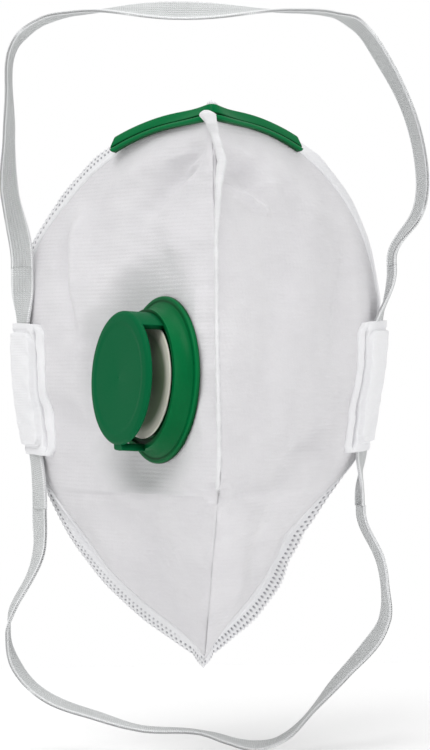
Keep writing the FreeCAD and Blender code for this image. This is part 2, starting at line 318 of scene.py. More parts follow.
def fabric(left, t, share, depth, reach=0.0, folds=True):
    """Points of one half. reach -1..0 runs from the middle plane to the seam line, and 0..1
    from the chin line to the middle plane, so that the outer layers close over the ridge."""
    t, share, depth, reach = np.broadcast_arrays(t, share, depth, reach)
    ray, normal, side = edge_frame(t)
    base = TIP + ray * share[..., None]
    lift = depth
    if folds:
        lift = depth + relief(left, t, share, base[..., 0], base[..., 2])
    points = base + normal * lift[..., None]
    slide = np.where(reach == 0, 0, points[..., 0] / side[..., 0] * np.abs(reach))
    points = points - side * slide[..., None]
    points = soften_ridge(points, np.max(depth))
    points[..., 0] *= smooth((share - 0.004) / 0.03)
    if not left:
        points = points + chin_edge_flare(t, share, ray)
    if left:
        points = points * (-1, 1, 1)
        points = valve_seat(points, depth)
    return drape(left, points)


# ---- meshes --------------------
def clean(mesh, weld=False):
    """Turns all faces outwards; with weld, points in the same place become one."""
    shape = bmesh.new()
    shape.from_mesh(mesh)
    if weld:
        bmesh.ops.remove_doubles(shape, verts=shape.verts, dist=1e-7)
    bmesh.ops.recalc_face_normals(shape, faces=shape.faces)
    shape.to_mesh(mesh)
    shape.free()


def add_mesh(name, points, faces, material, uv=None, flat=0):
    """New piece; its last faces, as many as flat says, are left without smooth shading."""
    mesh = bpy.data.meshes.new(name)
    mesh.from_pydata((np.asarray(points, float) * MM).tolist(), [], faces)
    mesh.materials.append(material)
    if uv is not None:
        layer = mesh.uv_layers.new(name="UVMap")
        corners = np.empty(len(mesh.loops), np.int32)
        mesh.loops.foreach_get("vertex_index", corners)
        layer.data.foreach_set("uv", np.asarray(uv, np.float32)[corners].ravel())
    clean(mesh)
    mesh.polygons.foreach_set("use_smooth", [True] * (len(faces) - flat) + [False] * flat)
    mesh.update()
    piece = bpy.data.objects.new(name, mesh)
    bpy.context.scene.collection.objects.link(piece)
    return piece


def sheet_mesh(name, outer, inner, material, uv, keep=None):
    """Closed sheet from two point grids of the same shape; keep marks the cells that stay."""
    rows, columns = outer.shape[:2]
    count = rows * columns
    index = np.arange(count).reshape(rows, columns)
    top = np.stack([index[:-1, :-1], index[:-1, 1:], index[1:, 1:], index[1:, :-1]], axis=-1).reshape(-1, 4)
    if keep is not None:
        top = top[keep.ravel()]
    low = top[:, ::-1] + count
    edges = {(a, b) for quad in top.tolist() for a, b in zip(quad, quad[1:] + quad[:1])}
    rim = [(b, a, a + count, b + count) for a, b in sorted(edges) if (b, a) not in edges]
    used, faces = np.unique(np.concatenate([top, low, rim]), return_inverse=True)
    faces = faces.reshape(-1, 4).tolist()
    points = np.concatenate([outer.reshape(-1, 3), inner.reshape(-1, 3)])[used]
    uv = np.concatenate([uv.reshape(-1, 2)] * 2)[used]
    return add_mesh(name, points, faces, material, uv=uv, flat=len(rim))


def quads_between(low, high):
    """Faces between two rings, given as the numbers of their points."""
    return np.stack([low, np.roll(low, -1), np.roll(high, -1), high], axis=1).tolist()


def tube_mesh(name, sections, material, closed_ends=True):
    """Skin over closed sections, given as an array [step, corner, xyz]."""
    rings = np.arange(sections[..., 0].size).reshape(sections.shape[:2])
    faces = [quad for low, high in zip(rings, rings[1:]) for quad in quads_between(low, high)]
    if closed_ends:
        faces += [rings[0][::-1].tolist(), rings[-1].tolist()]
    run, around = length_along(sections.mean(axis=1)), length_along(sections[0])
    uv = np.stack(np.meshgrid(run, around, indexing="ij"), axis=-1).reshape(-1, 2)
    return add_mesh(name, sections.reshape(-1, 3), faces, material, uv=uv, flat=2 * closed_ends)


def sleeve_mesh(name, outer, inner, material):
    """Thick-walled tube: outer and inner sections joined by flat rings at both ends."""
    over = np.arange(outer[..., 0].size).reshape(outer.shape[:2])
    under = over + over.size
    pairs = [*zip(over, over[1:]), *zip(under, under[1:]), (over[0], under[0]), (over[-1], under[-1])]
    faces = [quad for low, high in pairs for quad in quads_between(low, high)]
    points = np.concatenate([outer.reshape(-1, 3), inner.reshape(-1, 3)])
    return add_mesh(name, points, faces, material, uv=points[:, (1, 2)], flat=2 * over.shape[1])


# ---- materials --------------------
class Nodes:
    """Small helper for building a material's node tree."""

    def __init__(self, name):
        self.material = bpy.data.materials.new(name)
        self.material.use_nodes = True
        self.tree = self.material.node_tree
        self.shader = self.tree.nodes["Principled BSDF"]
        self.place = self.add("ShaderNodeTexCoord").outputs["Object"]

    def add(self, kind, inputs=None, **settings):
        node = self.tree.nodes.new(kind)
        for key, value in settings.items():
            setattr(node, key, value)
        for key, value in (inputs or {}).items():
            if isinstance(value, bpy.types.NodeSocket):
                self.tree.links.new(value, node.inputs[key])
            else:
                node.inputs[key].default_value = value
        return node

    def math(self, operation, a, b=0.0):
        return self.add("ShaderNodeMath", {0: a, 1: b}, operation=operation).outputs[0]

    def times(self, a, b):
        return self.math("MULTIPLY", a, b)

    def plus(self, a, b):
        return self.math("ADD", a, b)

    def wave(self, value, length):
        return self.math("SINE", self.times(value, 2 * math.pi / length))

    def fabric_place(self):
        """Place on the fabric or the profile in millimetres, and its two parts."""
        uv = self.add("ShaderNodeUVMap", uv_map="UVMap").outputs["UV"]
        split = self.add("ShaderNodeSeparateXYZ", {"Vector": uv})
        return uv, split.outputs["X"], split.outputs["Y"]

    def stretched(self, vector, scale):
        return self.add("ShaderNodeMapping", {"Vector": vector, "Scale": scale}).outputs["Vector"]

    def noise(self, vector, scale, detail=3.0, roughness=0.55):
        inputs = {"Vector": vector, "Scale": scale, "Detail": detail, "Roughness": roughness}
        return self.add("ShaderNodeTexNoise", inputs).outputs["Fac"]

    def ramp(self, fac, stops):
        node = self.add("ShaderNodeValToRGB", {"Fac": fac})
        while len(node.color_ramp.elements) < len(stops):
            node.color_ramp.elements.new(0.5)
        for element, (place, colour) in zip(node.color_ramp.elements, stops):
            element.position = place
            element.color = (*colour, 1)
        return node.outputs["Color"]

    def bump(self, height, distance, over=None):
        """Relief of so many millimetres, over another relief."""
        inputs = {"Height": height, "Distance": distance * MM, "Strength": 1.0}
        if over is not None:
            inputs["Normal"] = over
        return self.add("ShaderNodeBump", inputs).outputs["Normal"]

    def set(self, **values):
        for key, value in values.items():
            socket = self.shader.inputs[key.replace("_", " ")]
            if isinstance(value, bpy.types.NodeSocket):
                self.tree.links.new(value, socket)
            else:
                socket.default_value = value


def nonwoven(name, light, dark, pitch=1.0, bond=0.06, fuzz=1.0):
    """Spunbond fabric: rows of bond points in fabric millimetres, loose fibres and soft sheen."""
    n = Nodes(name)
    uv, across, up = n.fabric_place()
    grid = n.plus(n.times(n.wave(up, pitch), 0.65), n.times(n.wave(across, pitch / 0.8), 0.35))
    grid = n.times(grid, n.plus(n.noise(n.place, 260, 4), 0.2))
    fibres = n.noise(n.stretched(uv, (0.9, 5.0, 1)), 1.6, 6, 0.7)
    cloud = n.noise(n.place, 45, 5, 0.6)
    shade = n.plus(n.times(cloud, 0.55), n.times(fibres, 0.45))
    colour = n.ramp(shade, [(0.3, dark), (0.7, light)])
    dots = n.add("ShaderNodeAttribute", attribute_name="weld_dots").outputs["Fac"]
    pressed = (0.20, 0.20, 0.22, 1)
    dotted = n.add("ShaderNodeMix", {"Factor": dots, "A": colour, "B": pressed}, data_type="RGBA")
    n.set(Base_Color=dotted.outputs["Result"], Roughness=n.plus(n.times(fibres, 0.2), 0.72),
          Normal=n.bump(fibres, 0.10 * fuzz, n.bump(grid, bond)), Subsurface_Weight=0.12,
          Subsurface_Radius=(1.2 * MM, 1.2 * MM, 1.2 * MM), Sheen_Weight=0.25, Sheen_Roughness=0.5,
          Specular_IOR_Level=0.3)
    return n.material


def moulded_plastic(name, colour, shadow, rough=0.28, shine=0.2):
    """Injection-moulded plastic with a faint grain, handling marks and painted shade in its hollows."""
    n = Nodes(name)
    cloud = n.noise(n.place, 60, 4)
    grain = n.noise(n.place, 2200, 3)
    marks = n.noise(n.stretched(n.place, (1, 1, 9)), 420, 5)
    worn = n.ramp(marks, [(0.55, (0, 0, 0)), (0.75, (1, 1, 1))])
    # painted shade: ambient occlusion turns the colour towards the shadow colour in hollows and corners
    open_to_light = n.add("ShaderNodeAmbientOcclusion", {"Distance": 7 * MM}).outputs["AO"]
    shade = n.times(open_to_light, n.plus(n.times(cloud, 0.3), 0.85))
    n.set(Base_Color=n.ramp(shade, [(0.45, shadow), (0.97, colour)]), Specular_IOR_Level=shine,
          Roughness=n.plus(n.plus(n.times(worn, 0.10), n.times(grain, 0.08)), rough),
          Normal=n.bump(grain, 0.02))
    return n.material


def elastic_fabric(name, light, dark):
    """Knitted elastic: fine lengthwise ribs, cross stitches and a slightly fuzzy surface."""
    n = Nodes(name)
    along, across = n.fabric_place()[1:]
    knit = n.times(n.plus(n.wave(across, 0.75), 1.2), n.plus(n.wave(along, 0.55), 1.6))
    shade = n.plus(n.times(knit, 0.08), n.times(n.noise(n.place, 90, 4), 0.6))
    fibre = n.noise(n.place, 1500, 5, 0.7)
    n.set(Base_Color=n.ramp(shade, [(0.25, dark), (0.75, light)]), Roughness=0.8, Sheen_Weight=0.3,
          Normal=n.bump(fibre, 0.04, n.bump(knit, 0.05)))
    return n.material


def soft_rubber(name, light, dark):
    """Thin clear rubber: light at its thick rim, with painted shade and painted green reflected light over
    its middle, where the cap shades it.
    """
    n = Nodes(name)
    cloud = n.noise(n.place, 150, 4)
    fine = n.noise(n.place, 1800, 3)
    # painted shade and painted green reflection: the middle of the disc takes the dark colour
    inner = n.times(n.plus(n.fabric_place()[2], cloud), 0.01)
    n.set(Base_Color=n.ramp(inner, [(0.152, light), (0.172, dark)]), Subsurface_Weight=0.2,
          Subsurface_Radius=(2 * MM, 2 * MM, 1.5 * MM), Normal=n.bump(fine, 0.02),
          Roughness=n.plus(n.times(fine, 0.15), 0.45))
    return n.material


def open_foam(name, light, dark):
    """Fine-celled foam: small cells in colour and relief."""
    n = Nodes(name)
    cells = n.add("ShaderNodeTexVoronoi", {"Vector": n.place, "Scale": 1500}).outputs["Distance"]
    shade = n.plus(n.times(cells, 0.7), n.times(n.noise(n.place, 300, 4), 0.3))
    n.set(Base_Color=n.ramp(shade, [(0.2, dark), (0.6, light)]), Roughness=0.95,
          Normal=n.bump(cells, 0.25))
    return n.material


def drawn_wire(name, light, dark):
    """Drawn metal: fine lines along the wire."""
    n = Nodes(name)
    lines = n.noise(n.stretched(n.place, (1, 12, 12)), 300, 4)
    n.set(Base_Color=n.ramp(lines, [(0.3, dark), (0.7, light)]), Metallic=1.0,
          Roughness=n.plus(n.times(lines, 0.3), 0.25), Normal=n.bump(lines, 0.02))
    return n.material


def studio_paper(name):
    """Plain pale paper, a little brighter than the light that falls on it."""
    n = Nodes(name)
    paper = n.ramp(n.noise(n.place, 6, 3), [(0.3, grey(0.96)), (0.7, grey(0.98))])
    n.set(Base_Color=paper, Roughness=0.9, Emission_Color=(1, 1, 1, 1), Emission_Strength=0.05)
    return n.material


def grey(value):
    return value, value, value


COVER_CLOTH = nonwoven("outer_nonwoven", (0.76, 0.75, 0.765), (0.65, 0.64, 0.66), bond=0.035)
HEM_CLOTH = nonwoven("welded_nonwoven", (0.87, 0.87, 0.88), (0.78, 0.78, 0.80), 0.7, 0.03, 0.6)
# a little lighter than the cover cloth: a painted highlight along the seam ridge
RIDGE_CLOTH = nonwoven("welded_nonwoven", (0.78, 0.78, 0.79), (0.66, 0.66, 0.67), 0.8, 0.03)
LINER_CLOTH = nonwoven("inner_nonwoven", grey(0.86), grey(0.79), 1.4, 0.03, 0.7)
WEB_CLOTH = nonwoven("filter_web", (0.9, 0.9, 0.88), (0.82, 0.82, 0.8), 3.0, 0.01, 2.0)
# the second colour of each moulded plastic is the painted shade of its hollows
GREEN = moulded_plastic("green_plastic", (0.001, 0.150, 0.043), (0.0, 0.050, 0.012), shine=0.06)
GREEN_FACE = moulded_plastic("green_plastic", (0.001, 0.112, 0.038), (0.0, 0.070, 0.022), 0.4, 0.04)
ELASTIC = elastic_fabric("elastic", (0.72, 0.735, 0.735), (0.58, 0.595, 0.595))
# lighter elastic for the band edges: a painted highlight
ELASTIC_EDGE_HIGHLIGHT = elastic_fabric("elastic", (0.92, 0.93, 0.93), (0.82, 0.83, 0.84))
SILICONE = soft_rubber("diaphragm", (0.82, 0.80, 0.70), (0.20, 0.26, 0.16))
WHITE_PLASTIC = moulded_plastic("backing_plastic", grey(0.82), grey(0.76))
FOAM = open_foam("foam", (0.75, 0.75, 0.76), (0.5, 0.5, 0.52))
WIRE = drawn_wire("nose_wire", (0.62, 0.63, 0.65), (0.35, 0.36, 0.38))


# ---- hiding the CAD parts that the pieces replace ---
def stands_for(piece, *nodes):
    """The piece replaces the CAD nodes."""
    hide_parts(*nodes)


# ---- fabric pieces --------------------
def rides_with_half(piece):
    """Bakes the piece's placement into its mesh."""
    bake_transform(piece)


def columns(count, extension):
    """Edge parameter and reach of each column, with extra columns over both ridges."""
    t = np.r_[np.zeros(extension), np.linspace(0, 1, count), np.ones(extension)]
    out = np.linspace(-1, 0, extension, endpoint=False)
    reach = np.r_[out, np.zeros(count), -out[::-1]]
    return t, reach


def valve_hole_cells(points):
    """Cells of a point grid that stay outside the hole for the valve."""
    inside = about_valve(points)[1] < HOLE_RADIUS + 0.25
    return ~(inside[:-1, :-1] | inside[1:, :-1] | inside[:-1, 1:] | inside[1:, 1:])


def fabric_uv(points):
    """Fabric millimetres: distance round the mask and height."""
    across = np.hypot(points[..., 0], (points[..., 1] - TIP[1]) * 0.9)
    return np.stack([across, points[..., 2]], axis=-1)


def shell(side, name, node, depths, material, size):
    """One layer of one half, from the tip to where the pressed edge begins."""
    left = side == "left"
    count, rows = size
    t, reach = columns(count, 5)
    if depths != COVER:
        reach = reach * 0.6           # the inner layers stop short of the fold line
    share = 0.006 + (hem_start(left, t[None, :]) - 0.004) * np.linspace(0, 1, rows)[:, None] ** 0.9
    grids = [fabric(left, t[None, :], share, depth, reach[None, :]) for depth in depths[::-1]]
    keep = valve_hole_cells(grids[0]) if left else None
    uv = fabric_uv(grids[0])
    piece = sheet_mesh(side + "_" + name, grids[0], grids[1], material, uv, keep)
    rides_with_half(piece)
    stands_for(piece, side + "_panel_" + node, side + "_chin_panel_" + node)


def build_shells():
    for side in ("left", "right"):
        shell(side, "cover_cloth", "outer_cover", COVER, COVER_CLOTH, (300, 190))
        shell(side, "filter_wool", "filter_web", FILTER, WEB_CLOTH, (120, 70))
        shell(side, "lining", "inner_liner", LINER, LINER_CLOTH, (200, 120))


DOT_PITCH = 1.6
DOT_ROWS = (0.7, 1.9, 3.1)     # distance of each row of weld dots from the rim


def weld_dots(t, start, from_rim):
    """1 on the small pressed dots and 0 beside them. The third row is only where the edge is broad."""
    dots = 0
    for row, place in enumerate(DOT_ROWS):
        phase = (LENGTH_OF_EDGE * t / DOT_PITCH + 0.5 * (row % 2)) % 1.0 - 0.5
        spot = np.exp(-((phase * DOT_PITCH / 0.34) ** 2 + ((from_rim - place) / 0.36) ** 2) ** 2)
        dots = dots + spot * (smooth((0.901 - start) / 0.01) if row == 2 else 1.0)
    return np.clip(dots, 0, 1)


def edge_band(side):
    """Pressed edge: a bead beside the cover, rows of weld dots and a finely scalloped rim. On the
    right, the part above the chin is plain."""
    left = side == "left"
    t, reach = columns(760, 4)
    t, reach = t[None, :], reach[None, :]
    start = hem_start(left, t)
    share = start + (1 - start) * np.linspace(-0.06, 1, 34)[:, None]
    ray = np.linalg.norm(edge_point(t) - TIP, axis=-1)
    from_rim = (1 - share) * ray
    from_cover = (share - start) * ray
    dotted = np.ones_like(t) if left else smooth((t - 0.60) / 0.02)
    dots = dotted * weld_dots(t, start, from_rim)
    bead = 0.5 * smooth((t - CLIP_T) / 0.01) * np.exp(-((from_cover - 0.3) / 0.45) ** 2)
    drop = -0.75 * smooth((from_cover - 0.8) / 0.5)
    at_rim = smooth(1 - from_rim / 0.6)
    length = LENGTH_OF_EDGE * t
    scallop = 0.0025 * dotted * np.cos(2 * math.pi * length / DOT_PITCH) + 0.0018 * np.sin(length * 0.37)
    share = share + smooth(1 - from_rim / 1.4) * scallop
    outer = fabric(left, t, share, COVER[1] + bead + drop - 0.4 * at_rim - 0.35 * dots, reach)
    inner = fabric(left, t, share, 0.45 + 0.25 * at_rim, reach)
    piece = sheet_mesh(side + "_edge_band", outer, inner, HEM_CLOTH, fabric_uv(outer))
    marks = piece.data.attributes.new("weld_dots", "FLOAT", "POINT")
    marks.data.foreach_set("value", np.tile(dots.ravel(), 2).astype(np.float32))
    rides_with_half(piece)
    stands_for(piece, side + "_panel_edge_band", side + "_chin_panel_edge_band")


# ---- nose parts --------------------
NOSE_RAY = 98.0                # from the tip to the edge at the nose
OVER_SEAM = 0.9                # how far the clip is pushed out where it crosses the seam


def across_nose(share, depth, end_t, count=90, soft=4.0):
    """Line over the nose at one share and depth, from left to right, with a rounded bend."""
    t = np.linspace(0, end_t, count)
    start = fabric(False, 0, share, depth, -1, False)[None]
    right = np.concatenate([start, fabric(False, t, share, depth, 0, False)])
    right[0, 0] = 0
    line = np.concatenate([right[:0:-1] * (-1, 1, 1), right])
    run = length_along(line)
    even = np.linspace(0, run[-1], 2 * count + 1)
    line = np.stack([np.interp(even, run, line[:, i]) for i in range(3)], axis=1)
    kernel = np.exp(-((even[:, None] - even[None, :]) / soft) ** 2 / 2)
    kernel = kernel / kernel.sum(axis=1, keepdims=True)
    near_end = smooth(np.minimum(even, run[-1] - even) / (3 * soft))[:, None]
    return line + (kernel @ line - line) * near_end


def over_nose(name, profile, end_t, material, slant=0.0):
    """Strip over the nose with a closed profile of (share, depth); slant tapers both ends."""
    middle = profile[:, 0].mean()
    lines = [across_nose(share, depth, end_t - slant * abs(share - middle)) for share, depth in profile]
    sections = np.stack(lines, axis=1)
    sections[..., 1] -= OVER_SEAM * np.exp(-(sections[..., 0] / 5.0) ** 2)
    piece = tube_mesh(name, sections, material)
    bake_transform(piece)
    stands_for(piece, "left_" + name, "right_" + name)


def edge_profile(corners, radius):
    """Profile of (share, depth) with corners rounded in millimetres."""
    scale = np.array((NOSE_RAY, 1.0))
    return softened(np.array(corners) * scale, radius, 4) / scale


def nose_clip_and_wire():
    base = COVER[1] + 0.15
    wide, groove, bead = base + 1.1, base + 0.4, base + 1.9
    clip = [(0.9430, base), (0.990, base), (0.990, wide), (0.9650, wide), (0.9625, groove),
            (0.9590, groove), (0.9570, bead), (0.9445, bead)]
    over_nose("nose_clip", edge_profile(clip, 0.6), CLIP_T, GREEN, slant=0.35)
    low, high = base + 0.3, base + 0.7
    wire = [(0.966, low), (0.980, low), (0.980, high), (0.966, high)]
    over_nose("nose_wire", edge_profile(wire, 0.15), CLIP_T - 0.01, WIRE)


def foam_strip(side):
    """Soft strip on the face side of the nose, rounded off at both ends."""
    t = np.linspace(*FOAM_T, 60)
    around = np.linspace(0, 2 * math.pi, 40, endpoint=False)
    share = 0.9025 + 0.041 * superellipse(around, 5)[0][None, :]
    end = np.minimum(t - t[0], t[-1] - t)[:, None]
    swell = 0.72 * np.sqrt(np.clip(smooth(end / 0.012), 0.02, 1))
    depth = -0.80 + swell * superellipse(around, 10 / 3)[1][None, :]
    piece = tube_mesh(side + "_foam_strip", fabric(side == "left", t[:, None], share, depth, 0, False), FOAM)
    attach(piece, side + "_panel")
    stands_for(piece, side + "_nose_foam")


FIN_FOOT, FIN_TOP = -27.5, 68.8
# Sideways wander, half width and half height of the seam ridge at its heights in mm.
FIN_PATH = [(FIN_FOOT, -0.9, 0.4, 0.5), (-24.0, -0.6, 0.5, 0.7), (-18.0, -0.2, 0.55, 0.8),
            (10.0, -0.2, 0.5, 0.85), (35.0, 0.2, 0.55, 0.9), (48.0, 1.2, 0.9, 1.1),
            (54.5, 2.1, 1.25, 1.2), (59.0, 1.3, 1.1, 1.2), (63.0, 0.4, 1.1, 1.1),
            (65.5, -0.5, 1.6, 1.0), (67.3, -1.3, 2.1, 1.1), (FIN_TOP, -1.7, 1.3, 0.8)]


def build_seam_fin():
    """Pressed ridge down the seam; its top end is folded over the lower edge of the nose clip."""
    heights, shift, half_wide, half_high = np.array(FIN_PATH).T
    z = np.concatenate([np.linspace(FIN_FOOT, 45, 130), np.linspace(45.4, FIN_TOP, 100)])
    share = (z - TIP[2]) / (NOSE_Z - TIP[2])
    ridge = fabric(False, 0, np.clip(share, 0.004, 0.96), COVER[1], -1)
    front = unit(np.cross(SEAM, (1, 0, 0)))
    front = -front * np.sign(front[1])
    high = np.interp(z, heights, half_high)
    over_clip = 1.9 * smooth((z - 62.5) / 3.0)
    centre = ridge + front * (0.45 * high + over_clip)[:, None]
    centre[:, 0] = np.interp(z, heights, shift)
    wrinkle = 0.06 * np.sin(z * 1.7) + 0.05 * np.sin(z * 0.63 + 1)
    wide = np.interp(z, heights, half_wide) + wrinkle
    from_end = np.minimum(z - FIN_FOOT + 0.1, FIN_TOP + 0.2 - z)
    ends = np.sqrt(np.clip(smooth(from_end / 1.4), 0.02, 1))
    across, out = superellipse(np.linspace(0, 2 * math.pi, 28, endpoint=False)[None, :, None], 8 / 3)
    sections = centre[:, None, :] + (wide * ends)[:, None, None] * across * (1, 0, 0)
    sections = sections + (high * ends)[:, None, None] * out * front
    piece = tube_mesh("seam_ridge", sections, RIDGE_CLOTH)
    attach(piece, "left_panel")
    stands_for(piece, "centre_seam_fin")


# ---- headband tunnels --------------------
TAB_T = (0.462, 0.628)
PAD_END = 2.6                  # length of the lower strip at each end of the pad
SLOT_HEIGHT = 1.3


def on_tab(left, t, out, height):
    """Point of the tab: millimetres outwards from the tunnel's centre line, and above the cover.
    The rows of the tab stay level while they run outwards."""
    t = t + np.interp(t, TAB_T, (0.40, 0.10)) * out / 215
    ray = np.linalg.norm(edge_point(t) - TIP, axis=-1)
    return fabric(left, t, TUNNEL_SHARE + out / ray, COVER[1] + height)


def tab_rows():
    """Edge parameter and place along the tab, in mm from its middle, of each of its rows."""
    t = np.linspace(*TAB_T, 130)
    run = length_along(edge_point(t)) * TUNNEL_SHARE
    return t[:, None], (run - run[-1] / 2)[:, None], run[-1] / 2


def strap_tab(side):
    """Padded strip welded down round its edge, with a flat slot for the band."""
    left = side == "left"
    t, b, half = tab_rows()
    angle = np.linspace(0, 2 * math.pi, 96, endpoint=False)[None, :]
    wide, high = superellipse(angle, 4.5)
    beyond_pad = np.abs(b) - (half - PAD_END)
    out = -0.2 + np.interp(b, (-half, half), (0.2, -0.3)) + (6.6 + 0.35 * smooth(beyond_pad / 0.8)) * wide
    corner = 3.2
    dx = np.maximum(-6.2 - out + corner, 0)
    dy = np.maximum(beyond_pad + corner, 0)
    beside = np.hypot(dx, dy) - corner
    raised = smooth(0.5 - beside / 0.45)
    groove = -0.45 * np.exp(-((beside - 0.45) / 0.4) ** 2)
    puff = 0.10 * np.sin(b * 0.55 + 1) * np.sin(out * 0.6) + 0.07 * np.sin(b * 1.3 + out * 0.5)
    top = 2.1 + 0.9 * raised + puff * raised + groove
    under = 0.25 + 2.4 * smooth((out - 2.6) / 1.2)
    outer = on_tab(left, t, out, np.where(high > 0, top, under) * high)
    wide, high = superellipse(angle, 5)
    out = 4.3 * wide + 0 * b
    inner = on_tab(left, t, out, SLOT_HEIGHT + 0.6 * high + 0 * b)
    piece = sleeve_mesh(side + "_strap_tab", outer, inner, HEM_CLOTH)
    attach(piece, side + "_panel")
    stands_for(piece, side + "_headband_tunnel")


def tab_weld(side):
    """Soft melted ridge along the inner side of the tab, turned in at both ends."""
    left = side == "left"
    t, b, half = tab_rows()
    wavy = 0.25 * np.sin(b * 0.42 + (0.5 if left else 2.0)) + 0.15 * np.sin(b * 0.9)
    turn_in = smooth((np.abs(b) - half + 3.4) / 3.4) ** 2
    centre_out = -8.8 - np.interp(b, (-half, half), (0.0, 1.3)) + wavy + 2.4 * turn_in
    wide, high = superellipse(np.linspace(0, 2 * math.pi, 40, endpoint=False)[None, :], 2.4)
    out = centre_out + (1.9 - 0.2 * turn_in) * wide - 0.5 * np.clip(-wide, 0, 1) ** 2
    height = np.where(high > 0, 1.0 + 0.6 * turn_in, 0.5) * high
    piece = tube_mesh(side + "_tab_weld", on_tab(left, t, out, height), HEM_CLOTH)
    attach(piece, side + "_panel")
    stands_for(piece, side + "_tunnel_weld")


# ---- headbands --------------------
def band_section():
    """Flat band profile with a round bead along each edge: pairs of (wide, thick) in mm."""
    half, thick = BAND_WIDTH / 2, BAND_THICK / 2
    x = np.linspace(-half, half, 41)
    bead = np.exp(-((np.abs(x) - half + 0.40) / 0.32) ** 2)
    rib = 0.04 * np.cos(x * 2 * math.pi / 0.9)
    top = thick * 0.74 + 0.15 * bead + rib * (1 - bead)
    top = top * np.sqrt(np.clip(1 - (np.abs(x) / (half + 0.02)) ** 14, 0, 1))
    return np.concatenate([np.stack([x, top], axis=1), np.stack([x[::-1], -top[::-1]], axis=1)[1:-1]])


def curled(section, curl):
    """The flat profile rolled towards a gutter, once for each curl of 0 to 1."""
    bend = np.maximum(1.65 * curl, 0.001)
    radius = BAND_WIDTH / 2 / bend
    turn = section[None, :, 0] / radius
    x = (radius + section[None, :, 1]) * np.sin(turn)
    return x, (radius + section[None, :, 1]) * np.cos(turn) - radius * (1 + np.cos(bend)) / 2


def paint_edge_highlights(piece, section):
    """Gives the faces along both edges of a band a lighter colour, a painted highlight where the edges catch
    the light.
    """
    piece.data.materials.append(ELASTIC_EDGE_HIGHLIGHT)
    beads = np.abs(section[:, 0]) > BAND_WIDTH / 2 - 0.75
    on_bead = beads & np.roll(beads, -1)
    for polygon in piece.data.polygons:
        if len(polygon.vertices) == 4:
            corners = [vertex % len(section) for vertex in polygon.vertices]
            lowest, highest = min(corners), max(corners)
            polygon.material_index = int(on_bead[highest if highest - lowest > 1 else lowest])


def ribbon(name, stations, count):
    """Band along a spline. Each station is (point, direction of the width, curl)."""
    p, w, curl = (np.array(column, float) for column in zip(*stations))
    knots = length_along(p)
    knots = knots / knots[-1]
    at = spline(p)
    t = np.linspace(0, 1, count)
    centre = at(t)
    forward = unit(at(np.minimum(t + 1e-4, 1)) - at(np.maximum(t - 1e-4, 0)))
    i = np.clip(np.searchsorted(knots, t, side="right") - 1, 0, len(p) - 2)
    ease = smooth((t - knots[i]) / (knots[i + 1] - knots[i]))[:, None]
    w = unit(w)
    wide = w[i] * (1 - ease) + w[i + 1] * ease
    wide = unit(wide - forward * np.sum(wide * forward, axis=1, keepdims=True))
    thick = np.cross(forward, wide)
    section = band_section()
    x, y = curled(section, np.interp(t, knots, curl)[:, None])
    sections = centre[:, None, :] + wide[:, None, :] * x[..., None] + thick[:, None, :] * y[..., None]
    piece = tube_mesh(name, sections, ELASTIC)
    paint_edge_highlights(piece, section)
    return piece


def swing_end(joint, x, up=0.0):
    """Point on the axis a loop swings about, or a little above it."""
    return np.array((x, 0, up)) + np.array(JOINTS[joint]["pos_m"]) / MM * (0, 1, 1)


# Direction of the band's width and its curl where it leaves the right (first) and left tunnel.
UPPER_TURN = ((-0.25, 1, 0), (1, 0, 0))
LOWER_TURN = ((-0.25, 1, 0), (0.6, -0.8, 0))
END_CURL = (0.6, 0.1)


def band_run(side, top_x, low_x):
    """Elastic inside one tunnel, with the short ends that leave it."""
    left = side == "left"
    curl = END_CURL[left]
    stations = [(swing_end("upper_headband_swing", top_x, up), UPPER_TURN[left], curl) for up in (0, -2)]
    for t in np.linspace(TUNNEL_T[0] + 0.004, TUNNEL_T[1] - 0.016, 5):
        outward = unit(edge_point(t) - TIP) * (1, -1 if left else 1, -1 if left else 1)
        stations.append((on_tab(left, t, 0.0, SLOT_HEIGHT), outward, 0.0))
    stations += [(swing_end("lower_headband_swing", low_x, up), LOWER_TURN[left], curl) for up in (2, 0)]
    piece = ribbon(side + "_tab_elastic", stations, 220)
    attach(piece, side + "_panel")
    stands_for(piece, side + "_band_run")


def narrows_with_fold(piece):
    """Gives the piece its own copy of its mesh."""
    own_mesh(piece)


# Stations of both loops between their ends, from left to right.
UPPER_LOOP = [((-51.2, -13, 50), (0.75, 0.65, 0), 0), ((-51.2, -18, 65.6), (0.45, 0.9, 0), 0),
              ((-51.1, -22, 78.3), (0.22, 1, 0), 0), ((-50, -25, 86.5), (0.2, 1, -0.1), 0),
              ((-46.9, -27, 90.7), (0.16, 1, -0.28), 0), ((-42, -28, 93.8), (0.05, 1, -0.2), 0),
              ((-33.5, -30, 95.6), (0, 1, 0), 0), ((-6.8, -32, 95.9), (0, 0.53, 0.85), 0),
              ((23.1, -31, 95.9), (0, 1, 0.04), 0), ((33.2, -30, 95.1), (0, 1, -0.05), 0),
              ((39, -29, 92.8), (-0.25, 1, -0.4), 0), ((45, -28, 85.5), (-0.5, 1, -0.3), 0),
              ((52.5, -24, 72.4), (-0.38, 1, -0.15), 0), ((57.2, -19, 56.4), (-0.45, 1, 0), 0.1),
              ((56, -13.5, 43), (-0.4, 1, 0), 0.4)]
